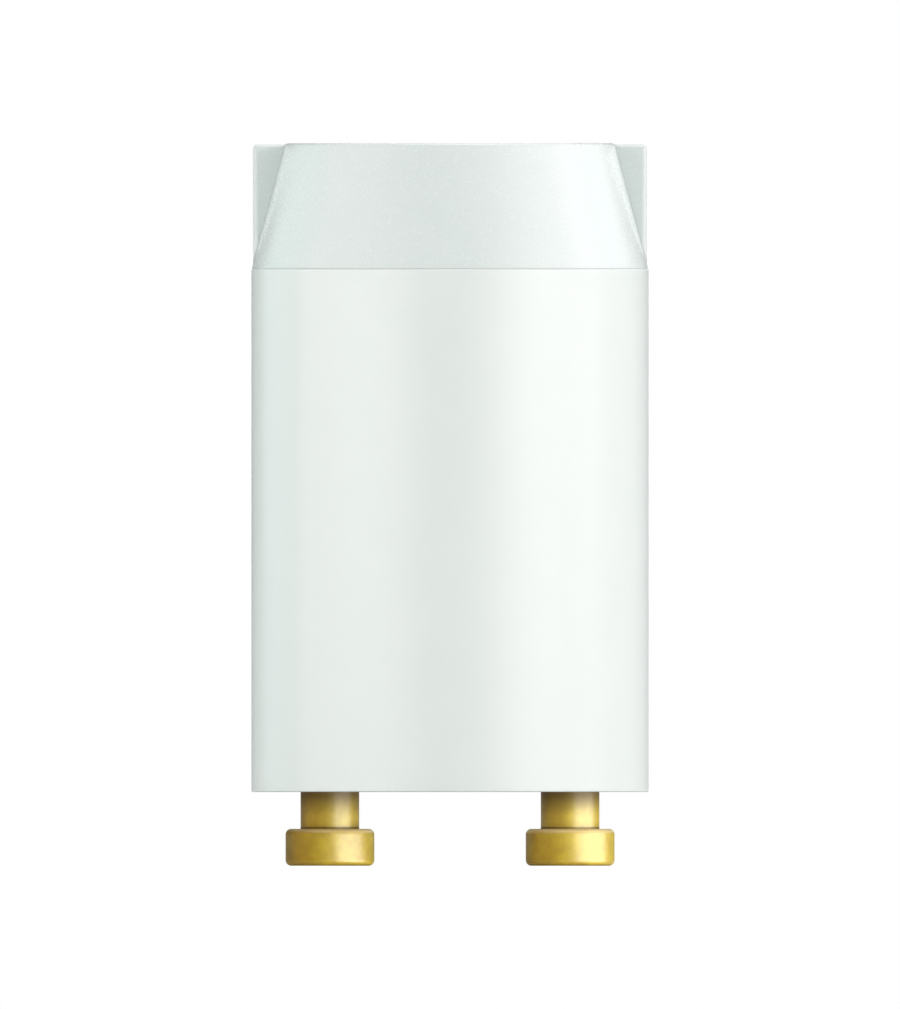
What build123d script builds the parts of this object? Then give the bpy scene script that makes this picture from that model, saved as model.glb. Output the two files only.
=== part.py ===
from build123d import *
from math import radians, sqrt, tan
import os

# Glow starter for a fluorescent lamp: a white moulded can that stands on two brass contact pins.
# Lengths are millimetres. The origin is the centre of the can's rim, which seats on the holder.
# +Z runs up the can away from the pins, and +X runs from the left pin to the right one.

# Contact pins
pin_pitch = 12.7
pin_head_diameter = 4.7
pin_head_thickness = 1.95
pin_head_edge_radius = 0.3
pin_neck_diameter = 3.1
pin_neck_length = 1.95
pin_tail_diameter = 2.2
pin_bore_diameter = 1.2
pin_bore_depth = 1.5
clinch_diameter = 3.2
clinch_height = 0.5
clinch_edge = 0.17

# Can, wide enough to cover the heads of the pins
head_setback = 1.8
can_height = 34.3
can_wall = 1.1
top_wall = 1.2
mouth_wall = 0.8
rim_edge_radius = 0.08
mouth_lead_in = 0.25
gate_mark_diameter = 2.4
gate_mark_depth = 0.15
gate_nub_diameter = 0.8
gate_nub_height = 0.1

# Tapered grip above the can's parting line, and the two fins that a thumb and finger turn
grip_height = 6.6
grip_angle = 15
grip_edge_radius = 0.2
parting_line_width = 0.1
parting_line_depth = 0.06
fin_thickness = 1.5
fin_setback = 0.09
fin_top_drop = 0.07
fin_edge_radius = 0.25
fin_root_depth = 1.0
fin_root_radius = 0.08

# Base plate and how it snaps into the can's mouth
base_recess = 0.4
base_thickness = 1.8
base_clearance = 0.03
bead_height = 0.12
bead_width = 0.5
key_width = 2.0
key_depth = 0.7
key_clearance = 0.05
barrier_thickness = 0.8
barrier_height = 1.2
barrier_inset = 2.4
tag_pocket_depth = 0.2
rivet_clearance = 0.02

# Terminal tags, cut and curled from sheet
tag_thickness = 0.4
tag_width = 1.8
tag_ring_diameter = 4.4
curl_slit = 0.12
crimp_clearance = 0.01

# Wires
wire_diameter = 0.5
wire_bend_radius = 0.9
wire_tail = 0.15

# Room inside the can: the glow tube in front and the capacitor behind stay clear of its wall
side_clearance = 1.5
tube_clearance = 1.0
tip_clearance = 4.5
tube_share = 0.545
capacitor_share = 1.27

# Glow tube: a blown glass envelope, squeezed flat over the two leads at its lower end
tube_glass = 0.7
tube_shoulder_height = 3.6
tube_dome_height = 3.4
pinch_clearance = 2.1
pinch_height = 4.0
pinch_narrowing = 0.5
pinch_hollow_thickness = 1.0
pinch_rounding = 0.3
pinch_floor = 0.7
tip_diameter = 1.8
tip_height = 1.4
tip_taper = 16
tip_edge_radius = 0.25

# The tube's electrodes, butt-welded on the ends of its leads inside the pinch
electrode_diameter = 0.7
electrode_spread = 0.42
electrode_seal = 1.2
electrode_height = 9.8
post_height = 4.4

# Bimetal strip: its foot is welded along the post, and its hook closes on the fixed electrode
strip_thickness = 0.2
strip_width = 2.0
strip_weld_gap = 0.04
strip_weld_length = 2.4
strip_long_leg = 7.3
strip_short_leg = 2.8
contact_gap = 0.56

# Suppression capacitor
capacitor_height = 12.0
capacitor_clearance = 1.6
capacitor_corner_radius = 1.2
capacitor_edge_radius = 0.8
capacitor_lead_spread = 0.6
lead_skirt_diameter = 1.4
lead_skirt_height = 0.5
lead_skirt_taper = 20
lead_embedment = 1.0

# Places that follow from the sizes above
pin_x = pin_pitch / 2
can_radius = pin_x + pin_head_diameter / 2 + head_setback
mouth_radius = can_radius - mouth_wall
bore_radius = can_radius - can_wall
shoulder_z = can_height - grip_height
ceiling_z = can_height - top_wall
grip_taper = tan(radians(grip_angle))
grip_base_radius = can_radius - parting_line_depth / 2
grip_top_radius = grip_base_radius - grip_taper * grip_height
ceiling_radius = bore_radius - grip_taper * (ceiling_z - shoulder_z)
base_top_z = base_recess + base_thickness
bead_z = base_recess + base_thickness / 2
tag_bottom_z = base_top_z - tag_pocket_depth
tag_top_z = tag_bottom_z + tag_thickness
clinch_top_z = tag_top_z + clinch_height
wire_radius = wire_diameter / 2
wire_z = tag_top_z + wire_radius
wire_end_x = pin_x + tag_width / 2 + wire_tail
room_radius = bore_radius - side_clearance
tube_radius = tube_share * room_radius
tube_y = tube_radius - room_radius
pinch_width = 2 * (tube_radius - pinch_narrowing)
pinch_thickness = 2 * tube_glass + pinch_hollow_thickness
pinch_bottom_z = wire_z + pinch_clearance
pinch_top_z = pinch_bottom_z + pinch_height
tube_straight_z = pinch_top_z + tube_shoulder_height
tube_top_z = ceiling_z - tip_clearance - tip_height
tube_dome_z = tube_top_z - tube_dome_height
electrode_x = electrode_spread * pinch_width / 2
electrode_radius = electrode_diameter / 2
electrode_bottom_z = pinch_top_z - electrode_seal
post_top_z = pinch_top_z + post_height
strip_x = strip_weld_gap + strip_thickness / 2 + electrode_radius - electrode_x
strip_foot_z = post_top_z - strip_weld_length
strip_bend_z = strip_foot_z + strip_long_leg
strip_bend_radius = electrode_x - electrode_radius - (strip_weld_gap + contact_gap + strip_thickness) / 2
capacitor_width = capacitor_share * room_radius
capacitor_front_y = tube_y + tube_radius + tube_clearance
capacitor_back_y = sqrt(room_radius**2 - (capacitor_width / 2) ** 2)
capacitor_y = (capacitor_front_y + capacitor_back_y) / 2
capacitor_bottom_z = wire_z + capacitor_clearance

os.makedirs("parts", exist_ok=True)


def bent_wire(upright_x, y, top_z):
    """Wire that lies in its tag, runs inwards along X and bends up once to stand at upright_x."""
    side = 1 if upright_x > 0 else -1
    with BuildPart() as wire:
        with BuildLine() as route:
            FilletPolyline(
                (side * wire_end_x, y, wire_z),
                (upright_x, y, wire_z),
                (upright_x, y, top_z),
                radius=wire_bend_radius,
            )
        with BuildSketch(Plane(route.line @ 0, z_dir=route.line % 0)):
            Circle(wire_radius)
        sweep()
    return wire.part


# Two fins, one each side, that stand on the can's wall and run into the tapered wall
with BuildPart() as fins:
    fin_outer = can_radius - fin_setback
    fin_top = can_height - fin_top_drop
    with BuildSketch(Plane.XZ):
        with BuildLine():
            Polyline(
                (bore_radius + can_wall / 3, shoulder_z - fin_root_depth),
                (fin_outer, shoulder_z - fin_root_depth),
                (fin_outer, fin_top),
                (grip_top_radius - can_wall / 2, fin_top),
                close=True,
            )
        make_face()
    extrude(amount=fin_thickness / 2, both=True)
    outer_face = fins.faces().sort_by(Axis.X)[-1]
    top_face = fins.faces().sort_by(Axis.Z)[-1]
    outer_edges = outer_face.edges().sort_by(Axis.Z)[1:]
    top_sides = top_face.edges().filter_by(Axis.X)
    fillet(outer_edges + top_sides, fin_edge_radius)
    mirror(about=Plane.YZ)

# The can is one moulding, closed at the top, with the tapered grip, the fins and two keys
with BuildPart() as can:
    with BuildSketch(Plane.XZ):
        with BuildLine():
            Polyline(
                (0, can_height),
                (grip_top_radius, can_height),
                (grip_base_radius, shoulder_z),
                (can_radius - parting_line_depth, shoulder_z),
                (can_radius - parting_line_depth, shoulder_z - parting_line_width / 2),
                (can_radius, shoulder_z - parting_line_width),
                (can_radius, 0),
                (mouth_radius, 0),
                (mouth_radius, base_top_z),
                (bore_radius, base_top_z),
                (bore_radius, shoulder_z),
                (ceiling_radius, ceiling_z),
                (0, ceiling_z),
                close=True,
            )
        make_face()
    revolve(axis=Axis.Z)
    fillet(can.faces().sort_by(Axis.Z)[-1].edges(), grip_edge_radius)
    add(fins.part)
    fin_roots = can.edges().filter_by(GeomType.HYPERBOLA).sort_by(SortBy.LENGTH)[-4:]
    fillet(fin_roots, fin_root_radius)
    rim_edges = can.faces().sort_by(Axis.Z)[0].edges().sort_by(SortBy.RADIUS)
    chamfer(rim_edges[0], mouth_lead_in)
    fillet(rim_edges[-1], rim_edge_radius)
    # Groove that the base plate's bead snaps into
    with BuildSketch(Plane.XZ):
        with Locations((mouth_radius, bead_z)):
            Rectangle(2 * bead_height, bead_width + 2 * base_clearance)
    revolve(axis=Axis.Z, mode=Mode.SUBTRACT)
    # Two keys that stop the base plate from turning when the can is twisted
    with BuildSketch(Plane.XY.offset(base_recess)):
        with GridLocations(0, 2 * mouth_radius, 1, 2):
            Rectangle(key_width, 2 * key_depth)
        Circle(mouth_radius + mouth_wall / 2, mode=Mode.INTERSECT)
    extrude(amount=base_thickness)
    # Dimple in the middle of the top, with the stub of the moulding gate standing in it
    with BuildSketch(Plane.XY.offset(can_height)):
        Circle(gate_mark_diameter / 2)
    extrude(amount=-gate_mark_depth, mode=Mode.SUBTRACT)
    with BuildSketch(Plane.XY.offset(can_height - gate_mark_depth)):
        Circle(gate_nub_diameter / 2)
    extrude(amount=gate_nub_height)
can.part.label = "can"
export_step(can.part, "parts/can.step")

# The base plate closes the can and carries both pins and their tags
with BuildPart() as base_plate:
    with BuildSketch(Plane.XY.offset(base_recess)):
        Circle(mouth_radius - base_clearance)
    extrude(amount=base_thickness)
    with BuildSketch(Plane.XZ):
        with Locations((mouth_radius - base_clearance, bead_z)):
            Rectangle(2 * bead_height, bead_width)
    revolve(axis=Axis.Z)
    # Wall between the two live tags
    with BuildSketch(Plane.XY.offset(base_top_z)):
        Rectangle(barrier_thickness, 2 * (bore_radius - barrier_inset))
    extrude(amount=barrier_height)
    # Notches over the can's keys
    with BuildSketch(Plane.XY.offset(base_recess)):
        with GridLocations(0, 2 * mouth_radius, 1, 2):
            Rectangle(key_width + 2 * key_clearance, 2 * (key_depth + key_clearance))
    extrude(amount=base_thickness, mode=Mode.SUBTRACT)
    # Pockets that hold the tags square
    eye_radius = wire_radius + tag_thickness
    pocket_length = capacitor_y - tube_y + 2 * (eye_radius + base_clearance)
    with BuildSketch(Plane.XY.offset(tag_bottom_z)):
        with GridLocations(pin_pitch, 0, 2, 1):
            Circle(tag_ring_diameter / 2 + base_clearance)
        with Locations((0, (capacitor_y + tube_y) / 2)):
            with GridLocations(pin_pitch, 0, 2, 1):
                Rectangle(tag_width + 2 * base_clearance, pocket_length)
    extrude(amount=tag_pocket_depth, mode=Mode.SUBTRACT)
    with GridLocations(pin_pitch, 0, 2, 1):
        Hole(pin_tail_diameter / 2 + rivet_clearance)
base_plate.part.label = "base_plate"
export_step(base_plate.part, "parts/base_plate.step")

# Turned pins: head, neck, and a hollow tail that is clinched over the tag inside the can
for side, hand in ((-1, "left"), (1, "right")):
    with BuildPart() as contact_pin:
        with BuildSketch(Plane((side * pin_x, 0, 0), x_dir=(1, 0, 0), z_dir=(0, -1, 0))):
            with BuildLine():
                Polyline(
                    (0, -pin_neck_length - pin_head_thickness),
                    (pin_head_diameter / 2, -pin_neck_length - pin_head_thickness),
                    (pin_head_diameter / 2, -pin_neck_length),
                    (pin_neck_diameter / 2, -pin_neck_length),
                    (pin_neck_diameter / 2, base_recess),
                    (pin_tail_diameter / 2, base_recess),
                    (pin_tail_diameter / 2, tag_top_z),
                    (clinch_diameter / 2, tag_top_z),
                    (clinch_diameter / 2, tag_top_z + clinch_edge),
                    (pin_bore_diameter / 2 + clinch_edge, clinch_top_z),
                    (pin_bore_diameter / 2, clinch_top_z - clinch_edge),
                    (pin_bore_diameter / 2, clinch_top_z - pin_bore_depth),
                    (0, clinch_top_z - pin_bore_depth),
                    close=True,
                )
            make_face()
        revolve(axis=Axis((side * pin_x, 0, 0), (0, 0, 1)))
        head_edges = contact_pin.edges().filter_by(GeomType.CIRCLE).sort_by(SortBy.RADIUS)[-2:]
        fillet(head_edges, pin_head_edge_radius)
    contact_pin.part.label = f"contact_pin_{hand}"
    export_step(contact_pin.part, f"parts/contact_pin_{hand}.step")

# Sheet tags under the clinched tails, with an eye curled round a wire at each end
for side, hand in ((-1, "left"), (1, "right")):
    with BuildPart() as terminal_tag:
        with BuildSketch(Plane.XY.offset(tag_bottom_z)):
            with Locations((side * pin_x, (capacitor_y + tube_y) / 2)):
                Rectangle(tag_width, capacitor_y - tube_y)
            with Locations((side * pin_x, 0)):
                Circle(tag_ring_diameter / 2)
                Circle(pin_tail_diameter / 2 + rivet_clearance, mode=Mode.SUBTRACT)
        extrude(amount=tag_thickness)
        with BuildSketch(Plane.YZ.offset(side * pin_x)):
            with Locations((tube_y, wire_z), (capacitor_y, wire_z)):
                Circle(eye_radius)
        extrude(amount=tag_width / 2, both=True)
        slit_inset = wire_radius + tag_thickness / 2
        with BuildSketch(Plane.YZ.offset(side * pin_x)):
            with Locations((tube_y, wire_z), (capacitor_y, wire_z)):
                Circle(wire_radius + crimp_clearance)
            with Locations((tube_y + slit_inset, wire_z), (capacitor_y - slit_inset, wire_z)):
                Rectangle(2 * tag_thickness, curl_slit)
        extrude(amount=tag_width / 2, both=True, mode=Mode.SUBTRACT)
    terminal_tag.part.label = f"terminal_tag_{hand}"
    export_step(terminal_tag.part, f"parts/terminal_tag_{hand}.step")

# Wires from the tags: one pair seals into the glow tube's pinch, one pair into the capacitor
tube_leads = []
capacitor_leads = []
for side, hand in ((-1, "left"), (1, "right")):
    tube_lead = bent_wire(side * electrode_x, tube_y, electrode_bottom_z)
    tube_lead.label = f"tube_lead_{hand}"
    export_step(tube_lead, f"parts/tube_lead_{hand}.step")
    tube_leads.append(tube_lead)
    lead_x = side * capacitor_lead_spread * capacitor_width / 2
    capacitor_lead = bent_wire(lead_x, capacitor_y, capacitor_bottom_z + lead_embedment)
    capacitor_lead.label = f"capacitor_lead_{hand}"
    export_step(capacitor_lead, f"parts/capacitor_lead_{hand}.step")
    capacitor_leads.append(capacitor_lead)

# The short electrode is the post that carries the bimetal strip
with BuildPart() as bimetal_post:
    with BuildSketch(Plane.XY.offset(electrode_bottom_z)):
        with Locations((-electrode_x, tube_y)):
            Circle(electrode_radius)
    extrude(amount=electrode_seal + post_height)
bimetal_post.part.label = "bimetal_post"
export_step(bimetal_post.part, "parts/bimetal_post.step")

# The tall electrode stays put
with BuildPart() as fixed_electrode:
    with BuildSketch(Plane.XY.offset(electrode_bottom_z)):
        with Locations((electrode_x, tube_y)):
            Circle(electrode_radius)
    extrude(amount=electrode_seal + electrode_height)
fixed_electrode.part.label = "fixed_electrode"
export_step(fixed_electrode.part, "parts/fixed_electrode.step")

# Bimetal strip, a hook bent from flat sheet
with BuildPart() as bimetal_strip:
    with BuildSketch(Plane.XZ.offset(-tube_y)):
        with BuildLine():
            long_leg = Line((strip_x, strip_foot_z), (strip_x, strip_bend_z))
            hook = CenterArc((strip_x + strip_bend_radius, strip_bend_z), strip_bend_radius, 180, -180)
            Line(hook @ 1, (hook @ 1) - (long_leg % 0) * strip_short_leg)
        trace(line_width=strip_thickness)
    extrude(amount=strip_width / 2, both=True)
bimetal_strip.part.label = "bimetal_strip"
export_step(bimetal_strip.part, "parts/bimetal_strip.step")


def blown_form(inset, floor_z):
    """Round tube with a dome, flared out of the flat pinch below it, all inset by a thickness."""
    radius = tube_radius - inset
    flat_width = pinch_width - 4 * inset
    flat_thickness = pinch_thickness - 2 * inset
    with BuildPart() as form:
        with BuildSketch(Plane.XY.offset(floor_z)):
            with Locations((0, tube_y)):
                RectangleRounded(flat_width, flat_thickness, pinch_rounding * flat_thickness)
        with BuildSketch(Plane.XY.offset(tube_straight_z)):
            with Locations((0, tube_y)):
                Circle(radius)
        loft()
        with BuildSketch(Plane.XY.offset(tube_straight_z)):
            with Locations((0, tube_y)):
                Circle(radius)
        extrude(amount=tube_dome_z - tube_straight_z)
        with BuildSketch(Plane.XZ.offset(-tube_y)):
            with BuildLine():
                EllipticalCenterArc((0, tube_dome_z), radius, tube_dome_height - inset, arc_size=90)
                Polyline((0, tube_top_z - inset), (0, tube_dome_z), (radius, tube_dome_z))
            make_face()
        revolve(axis=Axis((0, tube_y, 0), (0, 0, 1)))
    return form.part


# Glass envelope: the pinch, the tube blown out of it, its hollow, and the sealed-off tip
with BuildPart() as glow_tube_glass:
    add(blown_form(0, pinch_top_z))
    add(blown_form(tube_glass, pinch_top_z + pinch_floor), mode=Mode.SUBTRACT)
    with BuildSketch(Plane.XY.offset(pinch_bottom_z)):
        with Locations((0, tube_y)):
            RectangleRounded(pinch_width, pinch_thickness, pinch_rounding * pinch_thickness)
    extrude(amount=pinch_height)
    with BuildSketch(Plane.XY.offset(tube_top_z - tube_glass / 2)):
        with Locations((0, tube_y)):
            Circle(tip_diameter / 2)
    extrude(amount=tube_glass / 2 + tip_height, taper=tip_taper)
    fillet(glow_tube_glass.faces().sort_by(Axis.Z)[-1].edges(), tip_edge_radius)
    add(tube_leads, mode=Mode.SUBTRACT)
    add([bimetal_post.part, fixed_electrode.part], mode=Mode.SUBTRACT)
glow_tube_glass.part.label = "glow_tube_glass"
export_step(glow_tube_glass.part, "parts/glow_tube_glass.step")

# Capacitor: a dipped block, with a small skirt of resin run down each lead
with BuildPart() as capacitor:
    with BuildSketch(Plane.XY.offset(capacitor_bottom_z)):
        with Locations((0, capacitor_y)):
            RectangleRounded(
                capacitor_width,
                capacitor_back_y - capacitor_front_y,
                capacitor_corner_radius,
            )
    extrude(amount=capacitor_height)
    fillet(capacitor.faces().filter_by(Axis.Z).edges(), capacitor_edge_radius)
    with BuildSketch(Plane.XY.offset(capacitor_bottom_z)):
        with Locations((0, capacitor_y)):
            with GridLocations(capacitor_lead_spread * capacitor_width, 0, 2, 1):
                Circle(lead_skirt_diameter / 2)
    extrude(amount=-lead_skirt_height, taper=lead_skirt_taper)
    add(capacitor_leads, mode=Mode.SUBTRACT)
capacitor.part.label = "capacitor"
export_step(capacitor.part, "parts/capacitor.step")
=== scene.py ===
# %% [markdown]
# # A glow starter, dressed for its portrait
# The object is the small white can that starts a fluorescent lamp. It turns into its holder by two
# brass pins, and it hides a glow tube with a switch of bimetal, and a capacitor. Every solid comes
# from the CAD model, in metres, with the origin at the can's rim and +Z up to the finned grip.
# Nothing here moves or reshapes one. What this file adds is the finish of each piece, and the light
# and the camera that show it as the photograph does.

# %% Load the frame
import bpy
import math
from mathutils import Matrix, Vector


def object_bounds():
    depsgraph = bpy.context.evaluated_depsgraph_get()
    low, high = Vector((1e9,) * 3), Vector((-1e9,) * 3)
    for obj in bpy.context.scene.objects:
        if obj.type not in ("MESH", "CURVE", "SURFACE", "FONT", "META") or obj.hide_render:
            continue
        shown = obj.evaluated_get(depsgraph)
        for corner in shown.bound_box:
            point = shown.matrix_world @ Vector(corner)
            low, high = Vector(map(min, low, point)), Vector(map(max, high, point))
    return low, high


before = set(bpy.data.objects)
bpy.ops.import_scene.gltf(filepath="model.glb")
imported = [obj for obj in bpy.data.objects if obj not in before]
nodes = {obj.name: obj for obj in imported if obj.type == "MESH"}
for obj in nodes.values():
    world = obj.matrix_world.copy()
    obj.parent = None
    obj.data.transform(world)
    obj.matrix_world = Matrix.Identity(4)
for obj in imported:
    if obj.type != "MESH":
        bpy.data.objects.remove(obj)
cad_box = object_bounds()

print("nodes:", ", ".join(sorted(nodes)))

# %% [markdown]
# ## The camera
# The photograph is a catalogue picture, taken square-on from so far away that the can's rim is a
# straight line. A very long lens would come close to that. An orthographic camera says it exactly:
# it has no vanishing point, and only the height of what it sees has to be set. That follows from
# the picture's 1009 pixels and from the pins, which stand 12.7 mm apart in it.

# %% Set the camera
scene = bpy.context.scene
mm = 0.001
picture_height = 1009
pixels_per_mm = 18.913
view_height = picture_height / pixels_per_mm * mm
view_centre = Vector((0, 0, 15.2 * mm))
camera_distance = 0.6

camera = bpy.data.objects.new("portrait_camera", bpy.data.cameras.new("portrait_camera"))
scene.collection.objects.link(camera)
camera.data.type = "ORTHO"
camera.data.ortho_scale = view_height
camera.location = view_centre + Vector((0, -camera_distance, 0))
camera.rotation_euler = (math.radians(90), 0, 0)
scene.camera = camera
print(f"the view is {view_height / mm:.2f} mm high")

# %% [markdown]
# ## Writing materials as sums
# A material is a small network of nodes. Drawn by hand it becomes a web of wires. Written down, a
# mask or a height is only arithmetic, so this class wraps one output of a node and lets Python's
# own signs add the Math nodes. Colours don't go through them, because a Math node turns a colour
# grey: they have a Mix node of their own. All of these nodes come from the one method `node`.

# %% A flow of values through a material
class Flow:
    """One output of a node. Arithmetic on it adds Math nodes to the same tree."""

    def __init__(self, tree, socket=None):
        self.tree = tree
        self.socket = socket

    def node(self, kind, settings=None, sockets=None, output=0):
        """A new node: its settings first, then a value or a link for each socket."""
        made = self.tree.nodes.new(kind)
        for name, value in (settings or {}).items():
            setattr(made, name, value)
        for name, value in (sockets or {}).items():
            if isinstance(value, Flow):
                self.tree.links.new(value.socket, made.inputs[name])
            else:
                made.inputs[name].default_value = value
        return Flow(self.tree, made.outputs[output])

    def maths(self, operation, *values):
        """A Math node on the values given, which are flows or numbers."""
        return self.node("ShaderNodeMath", {"operation": operation}, dict(enumerate(values)))

    def __add__(self, other):
        return self.maths("ADD", self, other)

    def __sub__(self, other):
        return self.maths("SUBTRACT", self, other)

    def __rsub__(self, other):
        return self.maths("SUBTRACT", other, self)

    def __mul__(self, other):
        return self.maths("MULTIPLY", self, other)

    __radd__ = __add__
    __rmul__ = __mul__

    def step(self, low, high):
        """0 below low, 1 above high, and a smooth climb between them."""
        sockets = {"Value": self, "From Min": low, "From Max": high}
        return self.node("ShaderNodeMapRange", {"interpolation_type": "SMOOTHSTEP"}, sockets)

    def mix(self, low, high):
        """The colour low where this flow is 0, and high where it is 1."""
        low, high = [end if isinstance(end, Flow) else (*end, 1) for end in (low, high)]
        sockets = {0: self, 6: low, 7: high}
        return self.node("ShaderNodeMix", {"data_type": "RGBA"}, sockets, output=2)

    def noise(self, scale, detail, roughness=0.5):
        """Cloudy values around 0.5, read at this flow's points."""
        sockets = {"Vector": self, "Scale": scale, "Detail": detail, "Roughness": roughness}
        return self.node("ShaderNodeTexNoise", {"noise_dimensions": "3D"}, sockets)

    def stretched(self, x, y, z):
        """The same points, pulled by a factor along each axis."""
        return self.node("ShaderNodeVectorMath", {"operation": "MULTIPLY"}, {0: self, 1: (x, y, z)})

    def bump(self, depth, strength):
        """A normal that leans as if this flow were a height of that many metres."""
        sockets = {"Height": self, "Distance": depth, "Strength": strength}
        return self.node("ShaderNodeBump", None, sockets)


print("a flow can:", ", ".join(name for name in vars(Flow) if not name.startswith("__")))

# %% [markdown]
# ## Starting a finish
# Every piece keeps the shape that the CAD gave it, so a finish is all that it gets here. What is
# the same all over, such as how much a plastic bends light, is set on the shader's own socket.
# What varies is a flow that is linked to it. A flow could read the generated coordinates, which
# stretch with each piece, but the object's own metres are better: a noise of scale 9000 then has
# grains of a ninth of a millimetre on every piece, and a finish stays put when its piece moves.

# %% Helpers for finishes
def new_material(name, **constants):
    """An empty material, its shader with the constants set, and a flow to start its sums from."""
    material = bpy.data.materials.new(name)
    material.use_nodes = True
    shader = material.node_tree.nodes["Principled BSDF"]
    for socket, value in constants.items():
        shader.inputs[socket.replace("_", " ")].default_value = value
    print(name, constants)
    return material, shader, Flow(material.node_tree)


def place(flow):
    """The point being shaded, in the object's own metres."""
    return flow.node("ShaderNodeTexCoord", output="Object")


def feed(shader, **flows):
    """Links each flow to the shader's socket of that name."""
    for socket, flow in flows.items():
        flow.tree.links.new(flow.socket, shader.inputs[socket.replace("_", " ")])


# %% [markdown]
# ## The studio floor
# The photograph shows no floor, because its camera looks exactly along it. It is there all the
# same, just under the heads of the pins: it throws light back up on the can, and seen from any
# other side the starter stands on it. A curved paper sweep would do as well, but a plane of one
# face is enough for so small an object. Its finish is matte paper with a faint cloudiness, and no
# gloss at all, so the lamps leave no glare on it.

# %% Floor
floor_reach = 1.5
floor_height = cad_box[0][2]
floor_corners = [
    (across * floor_reach, along * floor_reach, floor_height)
    for across, along in ((-1, -1), (1, -1), (1, 1), (-1, 1))
]

floor_mesh = bpy.data.meshes.new("studio_floor")
floor_mesh.from_pydata(floor_corners, [], [(0, 1, 2, 3)])
floor = bpy.data.objects.new("studio_floor", floor_mesh)
scene.collection.objects.link(floor)

paper, paper_shader, flow = new_material("studio_paper", Roughness=0.9, Specular_IOR_Level=0.0)
fibres = place(flow).noise(900, detail=2)
feed(paper_shader, Base_Color=fibres.mix((0.81, 0.82, 0.82), (0.86, 0.87, 0.87)))
floor_mesh.materials.append(paper)
print(f"floor at {floor_height / mm:.2f} mm")

# %% [markdown]
# ## A white background that leaves the light alone
# Behind the starter all is white. A white world would also light it from everywhere at once and
# wash out its shading, so this one answers by who asks: a ray straight from the camera finds white,
# and every other ray finds an almost black room. All the light then comes from the lamps. The
# Standard view shows that white as white, where the filmic views would show it as grey.

# %% World
scene.view_settings.view_transform = "Standard"
room = (0.02, 0.02, 0.02)
background = (1, 1, 1)

world = bpy.data.worlds.new("studio_white")
scene.world = world
world.use_nodes = True
seen_directly = Flow(world.node_tree).node("ShaderNodeLightPath", output="Is Camera Ray")
feed(world.node_tree.nodes["Background"], Color=seen_directly.mix(room, background))
print("background", background, "and room", room)

# %% [markdown]
# ## Softboxes
# White plastic is photographed between large soft panels. A point of light would leave one hard
# glint on the can, and an area lamp leaves a broad stripe with soft edges. This helper places a
# panel by what the can sees of it: how far round it stands, how high, and how wide an angle it
# fills. Its power grows with its area, so a panel that is made larger stays as bright to look at.

# %% A softbox
lamp_aim = Vector((0, 0, 14 * mm))
lamp_distance = 0.6


def panel_side(angle):
    """How long a panel's side is that fills this angle, in degrees, seen from the can."""
    return 2 * lamp_distance * math.tan(math.radians(angle / 2))


def softbox(name, turn, lift, spread, rise, brightness, colour):
    """A panel that faces the can and fills an angle of it.

    turn is how far it stands round to the right of the camera, lift is its height above the
    horizon, and spread and rise are the width and height that the can sees, all in degrees.
    brightness is in watts for each square metre of the panel.
    """
    lamp = bpy.data.objects.new(name, bpy.data.lights.new(name, "AREA"))
    scene.collection.objects.link(lamp)
    lamp.data.shape = "RECTANGLE"
    lamp.data.size = panel_side(spread)
    lamp.data.size_y = panel_side(rise)
    lamp.data.energy = brightness * lamp.data.size * lamp.data.size_y
    lamp.data.color = colour
    lamp.visible_camera = False
    turn, lift = math.radians(turn), math.radians(lift)
    level = math.cos(lift)
    away = Vector((math.sin(turn) * level, -math.cos(turn) * level, math.sin(lift)))
    lamp.location = lamp_aim + away * lamp_distance
    lamp.rotation_euler = (-away).to_track_quat("-Z", "Y").to_euler()
    print(f"{name}: {lamp.data.size:.2f} m wide, {lamp.data.energy:.2f} W")
    return lamp


# %% [markdown]
# ## Which lamp lights what
# Light that is right for white plastic burns out the brass. A photographer would shade the pins
# with a strip of card. Blender has a tidier way, light linking: a lamp may name a collection of
# objects that it lights alone, or of objects that it passes over.

# %% Light groups
def light_group(name, members, state="INCLUDE"):
    """Objects that a lamp lights alone, or with "EXCLUDE" the ones that it passes over."""
    group = bpy.data.collections.new(name)
    for member in members:
        group.objects.link(member)
    for link in group.collection_objects:
        link.light_linking.link_state = state
    print(name, state.lower() + "s", ", ".join(member.name for member in members))
    return group


pins = [nodes["contact_pin_left"], nodes["contact_pin_right"]]
all_but_pins = light_group("all_but_pins", pins, "EXCLUDE")
pins_alone = light_group("pins_alone", pins)
can_alone = light_group("can_alone", [nodes["can"]])
all_but_floor = light_group("all_but_floor", [floor], "EXCLUDE")

# %% [markdown]
# ## The can's lamps
# The photograph has two bright stripes down the can, the right one stronger, and a soft shade
# between them. A wide panel on each side gives a stripe, a narrower core in each makes its middle
# brighter than its edges, and the shade is the gap between the pairs. The panels are a little pink,
# because the stripes are neutral and the plastic itself is a cool white. The front fill is
# blue-green, so the shade stays cool. The rim lamps stand half behind the can and keep its outline
# from going dark.

# %% Lamps for the can
# name: turn, lift, spread, rise, brightness, colour
can_lamps = {
    "right_panel": (60, 10, 75, 32, 8.7, (1, 0.88, 0.9)),
    "right_core": (52, 10, 30, 32, 6.0, (0.92, 1, 0.94)),
    "right_rim": (108, 32, 50, 54, 4.2, (0.97, 1, 1)),
    "left_panel": (-60, 9.5, 75, 32, 9.2, (1, 0.93, 0.94)),
    "left_core": (-52, 10, 30, 32, 3.0, (0.85, 1, 0.88)),
    "left_rim": (-120, 12, 34, 38, 3.1, (0.75, 1, 0.93)),
    "front_fill": (0, 10, 40, 32, 0.6, (0.5, 1, 0.85)),
}
for name, settings in can_lamps.items():
    softbox(name, *settings).light_linking.receiver_collection = all_but_pins

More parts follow.
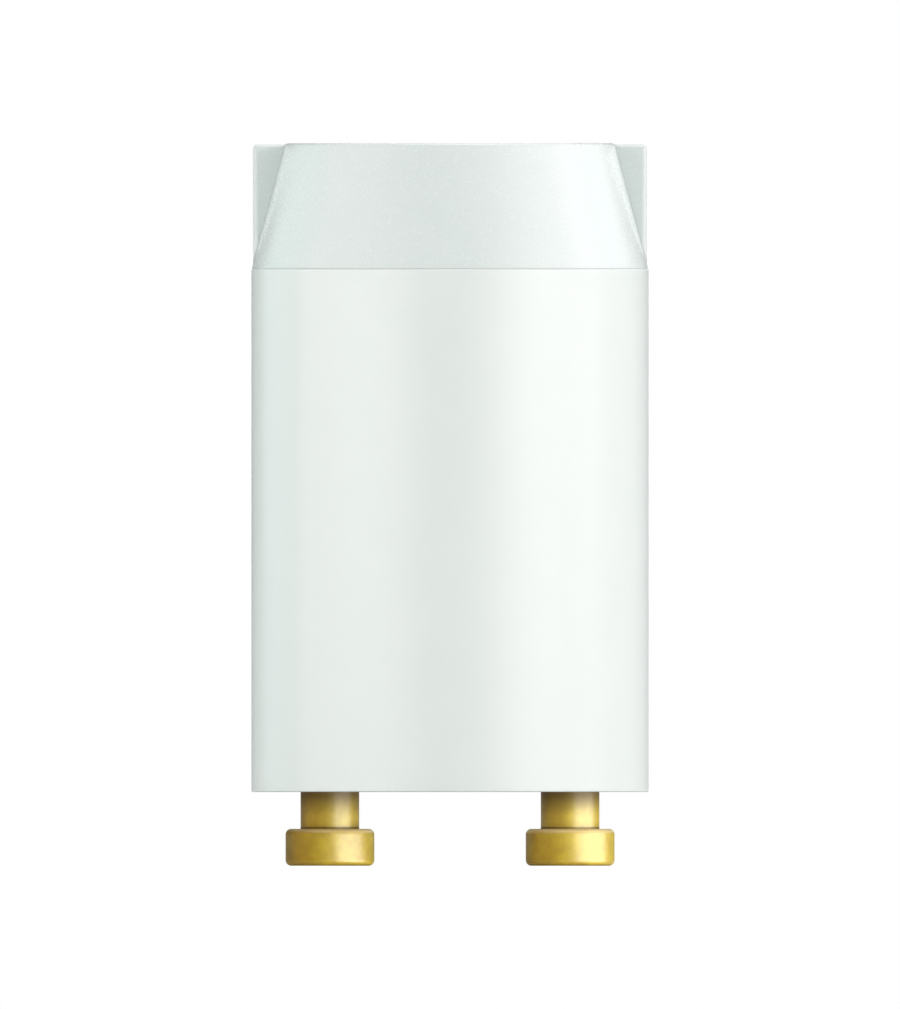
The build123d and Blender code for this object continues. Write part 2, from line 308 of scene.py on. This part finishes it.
# %% [markdown]
# ## From behind and above
# The back panel shines on everything. It draws the outline of the top and lights the back of the
# starter for whoever walks round it. The overhead lamp is for the grip, which leans back and so
# looks up more than the barrel does. It leaves the floor alone, because a bright floor would light
# the barrel from below.

# %% Back and top lamps
softbox("back_panel", 180, 55, 80, 30, 4.8, (1, 0.93, 0.96))
overhead = softbox("overhead", 0, 89, 40, 40, 6.5, (1, 1, 1))
overhead.light_linking.receiver_collection = can_alone

# %% [markdown]
# ## The pins' lamps
# Metal shows mostly what it reflects. A broad key on the right gives each pin its bright side, a
# yellow fill warms the middle, and a dim amber card on the left keeps the shaded side brown where
# it would be black. They are centred a little below the horizon, where the floor would be in their
# way. So it is left out of what blocks them, and they shine through it as through a glass table.

# %% Lamps for the pins
# name: turn, lift, spread, rise, brightness, colour
pin_lamps = {
    "pin_key": (60, -6, 84, 60, 13.3, (0.94, 0.97, 1)),
    "pin_fill": (10, -6, 60, 40, 2.4, (1, 0.95, 0.3)),
    "pin_card": (-65, -6, 80, 50, 1.7, (1, 0.6, 0)),
}
for name, settings in pin_lamps.items():
    lamp = softbox(name, *settings)
    lamp.light_linking.receiver_collection = pins_alone
    lamp.light_linking.blocker_collection = all_but_floor

# %% [markdown]
# ## White moulded plastic
# The can is polycarbonate, shot into a steel mould. Spark erosion left the mould's walls slightly
# rough, and they print a fine, even grain that breaks up reflections. A plain glossy shader would
# look like porcelain. So there are two noises: slow clouds in the colour, as plastic has where its
# melt cooled at different speeds, and the grain, which also makes the bump. The grip was formed by
# another part of the mould, and it looks cooler and darker. One material does both, because the
# height above the rim is all that tells them apart.

# %% The can's colour
shoulder_height = 27.7 * mm
grip_blend = 0.02 * mm


def axes_of(point):
    """The three coordinates of a point, as flows of their own."""
    split = point.node("ShaderNodeSeparateXYZ", None, {0: point})
    return [Flow(split.tree, split.socket.node.outputs[axis]) for axis in "XYZ"]


plastic, plastic_shader, flow = new_material("moulded_white", IOR=1.58)
point = place(flow)
x, y, height = axes_of(point)
on_grip = height.step(shoulder_height - grip_blend, shoulder_height + grip_blend)
grain = point.noise(9000, detail=2, roughness=0.6)
clouds = point.noise(420, detail=4) * 0.6 + grain * 0.4
body_colour = clouds.mix((0.785, 0.865, 0.835), (0.84, 0.91, 0.885))
grip_colour = clouds.mix((0.735, 0.825, 0.805), (0.795, 0.87, 0.855))
moulded_colour = on_grip.mix(body_colour, grip_colour)
print(f"the grip starts {shoulder_height / mm:.1f} mm above the rim")

# %% [markdown]
# ## The parting line and the rim
# Where barrel and grip meet, the parts of the mould left a groove a tenth of a millimetre wide.
# The CAD cut it, but light alone hardly shows it at this size. So the colour carries its light and
# shade: a pale painted highlight on a narrow band just below it, painted shade in its corner, and a
# thin line of painted shade along the rim's lower edge. These could be painted on a texture. As
# bands of height, each made from two steps, they need none, and they stay sharp however close the
# camera comes.

# %% Painted shade and highlight by height
below_grip = 1 - on_grip
lip_start = shoulder_height - 0.12 * mm
groove_shade_start = shoulder_height - 0.05 * mm
sharp = 0.01 * mm

# Painted shade: a dark line in the groove's corner, where shade falls.
groove_shade = height.step(groove_shade_start, groove_shade_start + sharp) * below_grip
# Painted highlight: a pale band just below the groove, where light catches the edge.
lip_highlight = height.step(lip_start, lip_start + sharp) * below_grip - groove_shade
# Painted shade: a thin dark line along the rim's lower edge, which faces down.
rim_shade = 1 - height.step(0.02 * mm, 0.05 * mm)
print(f"the lip is {(groove_shade_start - lip_start) / mm:.2f} mm high")

# %% [markdown]
# ## Painted shade at the fins
# A thin line of painted shade runs down each fin where it meets the cone, as shade falls in that
# corner. It could be drawn as a curve, but a place near two surfaces at once is easy to write: the
# distance off the cone and the distance off the fin's flat side are both small there. The fins, by
# which the starter is turned into its holder, also get a little painted shade along their outer
# edges, which dulls the bright line that those edges catch.

# %% Painted shade at the fins
cone_foot_radius = 10.47 * mm
cone_angle = 15
fin_thickness = 1.5 * mm
fin_edge = 10.1 * mm

cone_slope = math.tan(math.radians(cone_angle))
cone_radius = (shoulder_height - height) * cone_slope + cone_foot_radius
off_cone = point.maths("SQRT", x * x + y * y) - cone_radius
off_fin = point.maths("ABSOLUTE", y) - fin_thickness / 2
near_cone = 1 - point.maths("ABSOLUTE", off_cone).step(0.03 * mm, 0.12 * mm)
near_fin = 1 - off_fin.step(0, 1.0 * mm) * 0.4 - off_fin.step(0, 0.3 * mm) * 0.6
# Painted shade in the corner where each fin meets the cone.
crease_shade = near_cone * near_fin * on_grip
# Painted shade along the fins' outer edges.
fin_edge_shade = point.maths("ABSOLUTE", x).step(fin_edge, fin_edge + 0.2 * mm) * on_grip
print(f"the cone narrows by {cone_slope:.2f} mm with each mm of height")

# %% [markdown]
# ## The can's shader
# All the painted shade of the can is one grey-green, which also makes the plastic rougher where it
# lies. It darkens at most four fifths of the way to that colour. The grip carries half the grain of
# the barrel in its bump: its part of the mould was polished further. The material then goes into
# the solid's own slot, which changes its look and leaves its mesh alone.

# %% Put the plastic on
def dress(material, *names):
    """Puts a material on the CAD solids of those names."""
    for name in names:
        for material_slot in nodes[name].material_slots:
            material_slot.material = material
    print(f"{material.name}, {len(material.node_tree.nodes)} nodes, on", ", ".join(names))


# Colours of the painted highlight below the groove and of the painted shade.
lip_highlight_colour = (0.9, 0.97, 0.94)
shade_colour = (0.45, 0.5, 0.48)
# All the painted shade on the can, summed.
painted_shade = groove_shade + rim_shade + crease_shade * 0.9 + fin_edge_shade * 0.25
colour_with_highlight = (lip_highlight * 0.9).mix(moulded_colour, lip_highlight_colour)
feed(
    plastic_shader,
    Base_Color=(painted_shade * 0.8).mix(colour_with_highlight, shade_colour),
    Roughness=below_grip * 0.02 + 0.25 + grain * 0.04 + painted_shade * 0.2,
    Normal=(grain * (1 - on_grip * 0.5)).bump(0.002 * mm, 0.5),
)
dress(plastic, "can")

# %% [markdown]
# ## The base plate's plastic
# The plate that closes the can is a plainer moulding, slightly warmer and duller. A flat disc gets
# flow marks as its melt runs out from the middle, and they go right through it. One noise makes
# them: its points are pressed together along Z, which draws its clouds out through the plate's
# thickness. A fine second noise gives the pores.

# %% The base plate
plate, plate_shader, flow = new_material("moulded_plate", IOR=1.5)
point = place(flow)
flow_marks = point.stretched(1, 1, 0.2).noise(260, detail=5)
pores = point.noise(7000, detail=2)
feed(
    plate_shader,
    Base_Color=(flow_marks * 0.7 + pores * 0.3).mix((0.74, 0.74, 0.7), (0.82, 0.82, 0.78)),
    Roughness=pores * 0.15 + 0.4,
    Normal=pores.bump(0.008 * mm, 0.5),
)
dress(plate, "base_plate")

# %% [markdown]
# ## Turned brass
# The pins are turned from brass bar and tumbled until the tool's marks are soft. A lathe leaves
# rings, so one noise is stretched round the pin: fine along it, long about it. Bare brass also
# tarnishes in soft patches. The photograph shows a deep yellow body with a paler sheen over it. A
# single gloss gives one or the other, so the metal is saturated and rough, and a smoother clear
# coat carries the sheen.

# %% The brass's colour
brass, brass_shader, flow = new_material(
    "turned_brass", Metallic=1.0, Coat_Roughness=0.38, Coat_IOR=1.95
)
point = place(flow)
height = axes_of(point)[2]
ring_scale = 6000
ring_squash = (0.25, 0.25, 3)

patches = point.noise(1400, detail=4, roughness=0.6)
rings = point.stretched(*ring_squash).noise(ring_scale, detail=3, roughness=0.6)
speckle = point.noise(11000, detail=2)
fresh = (patches * 0.6 + rings * 0.15 + speckle * 0.25).step(0.3, 0.7)
tumbled_colour = fresh.mix((0.46, 0.31, 0.002), (0.62, 0.485, 0.012))
print(f"the rings are about {1 / (ring_scale * ring_squash[2]) / mm:.3f} mm apart")

# %% [markdown]
# ## Painted shade and a painted reflection on the pins
# The marks go by height. The neck gets a brown painted shade up against the can, whose rim shades
# it, and again in the corner at its foot. The head's upper edge is painted pale, a painted
# reflection of the white can above it, and its lower edge, which faces down, gets painted shade.
# The same steps as on the can write these bands. The painted shade also dims the sheen, so it
# lowers the coat's weight.

# %% Painted shade and reflection on the brass
head_top = -1.95 * mm
head_bottom = -3.9 * mm

above_head = height.step(head_top, head_top + sharp)
# Painted shade: the neck under the can, the corner at its foot and the head's lower edge.
neck_shade = height.step(-1.5 * mm, 0.1 * mm) * 0.95
foot_shade = above_head * (1 - height.step(head_top + 0.05 * mm, head_top + 0.13 * mm)) * 0.8
head_edge_shade = (1 - height.step(head_bottom, head_bottom + 0.12 * mm)) * 0.5
pin_shade = neck_shade + foot_shade + head_edge_shade
# Painted reflection: the head's upper edge, which faces up at the white can, is painted pale.
can_reflection_band = height.step(head_top - 0.3 * mm, head_top - 0.1 * mm) * (1 - above_head)

# The pale brass of the painted reflection, and the brown of the painted shade.
can_reflection_colour = (0.95, 0.78, 0.42)
pin_shade_colour = (0.12, 0.065, 0.008)
feed(
    brass_shader,
    Base_Color=pin_shade.mix(can_reflection_band.mix(tumbled_colour, can_reflection_colour), pin_shade_colour),
    # The painted shade also lowers the coat, dimming the sheen there.
    Coat_Weight=1 - pin_shade * 0.6,
    Roughness=speckle * 0.12 + rings * 0.1 + 0.64,
    Normal=(rings * 0.5 + speckle * 0.5).bump(0.004 * mm, 0.6),
)
dress(brass, "contact_pin_left", "contact_pin_right")

# %% [markdown]
# ## Rolled and drawn metal
# The pieces inside are small and plain, and all share one recipe: a bare metal whose grain runs
# the way that it was worked. Sheet comes out of the rolls with lines along it, and wire is drawn
# through a die, which leaves lines down its length. An anisotropic shader could hint at that, but
# lines that are there are truer: the noise's points are pressed together along one axis, which
# draws its clouds out that way. The brass tags are sheet, with their lines along Y.

# %% A metal with a grain, and the tags
def metal(name, dark, light, roughness, grain_scale, squash, depth):
    """A bare metal with a directional grain. squash says how each axis of the grain is pulled."""
    made, shader, flow = new_material(name, Metallic=1.0)
    point = place(flow)
    tarnish = point.noise(700, detail=5)
    lines = point.stretched(*squash).noise(grain_scale, detail=3, roughness=0.6)
    feed(
        shader,
        Base_Color=(tarnish * 0.6 + lines * 0.4).mix(dark, light),
        Roughness=lines * 0.16 + tarnish * 0.1 + (roughness - 0.13),
        Normal=lines.bump(depth, 0.6),
    )
    return made


lines_along_y = (3.0, 0.2, 3.0)
tag_brass = metal(
    "rolled_brass", (0.7, 0.5, 0.18), (0.84, 0.64, 0.28), 0.3, 5000, lines_along_y, 0.004 * mm
)
dress(tag_brass, "terminal_tag_left", "terminal_tag_right")

# %% [markdown]
# ## Wires, electrodes and the bimetal strip
# The glow tube's leads are copper-clad, because copper seals to glass. Its electrodes are drawn
# nickel. The strip is two metals rolled together that grow by different amounts, so it bends
# towards the tall electrode when the glow warms it. The capacitor's leads are tinned copper. They
# all run upright for most of their length, so the recipe for the tags does for them too, with the
# lines turned to Z.

# %% Other metals
lines_along_z = (3.0, 3.0, 0.2)
# name: dark, light, roughness, scale of the grain, its depth in mm, solids
upright_metals = {
    "sealing_copper": (
        (0.55, 0.26, 0.15), (0.75, 0.42, 0.28), 0.32, 9000, 0.003,
        ("tube_lead_left", "tube_lead_right"),
    ),
    "drawn_nickel": (
        (0.5, 0.49, 0.46), (0.66, 0.65, 0.61), 0.28, 9000, 0.003,
        ("bimetal_post", "fixed_electrode"),
    ),
    "rolled_bimetal": (
        (0.42, 0.41, 0.4), (0.6, 0.59, 0.57), 0.35, 8000, 0.003,
        ("bimetal_strip",),
    ),
    "tinned_copper": (
        (0.6, 0.6, 0.6), (0.78, 0.78, 0.77), 0.25, 9000, 0.002,
        ("capacitor_lead_left", "capacitor_lead_right"),
    ),
}
for name, (dark, light, roughness, grain_scale, depth, solids) in upright_metals.items():
    dress(metal(name, dark, light, roughness, grain_scale, lines_along_z, depth * mm), *solids)

# %% [markdown]
# ## Glass
# The envelope is blown lead glass. Thin clear glass is seen mostly by what it bends, and its
# waviness is what tells it from plastic. A real ripple in the mesh would change the solid, so a
# slow noise puts it into the bump and the roughness, and a faint grey-green into the colour.

# %% The glow tube
glass, glass_shader, flow = new_material("blown_glass", IOR=1.52, Transmission_Weight=1.0)
point = place(flow)
ripple = point.noise(220, detail=2)
feed(
    glass_shader,
    Base_Color=ripple.mix((0.9, 0.94, 0.92), (0.97, 0.98, 0.97)),
    Roughness=ripple * 0.04 + 0.01,
    Normal=ripple.bump(0.03 * mm, 0.4),
)
dress(glass, "glow_tube_glass")

# %% [markdown]
# ## Dipped resin
# The capacitor is dipped twice in a red-brown resin that sags a little before it sets. That makes
# its gloss wavy and uneven, so one slow noise, the sag, goes into the bump and into the weight of
# the coat. A clear coat over a rougher base looks wet and deep, as resin does, where a low
# roughness alone looks like enamel. Small specks of filler show in the colour.

# %% The capacitor
resin, resin_shader, flow = new_material("dipped_resin", IOR=1.55)
point = place(flow)
sag = point.stretched(1, 1, 0.5).noise(300, detail=2)
specks = point.noise(5000, detail=2)
feed(
    resin_shader,
    Base_Color=(sag * 0.7 + specks * 0.3).mix((0.36, 0.09, 0.04), (0.6, 0.2, 0.09)),
    Roughness=specks * 0.1 + 0.12,
    Coat_Weight=sag * 0.4 + 0.3,
    Normal=sag.bump(0.06 * mm, 0.5),
)
dress(resin, "capacitor")

# %% [markdown]
# ## Finish
# No finish here makes a part larger: the bumps only lean the normals, and every mesh stays as the
# CAD gave it.
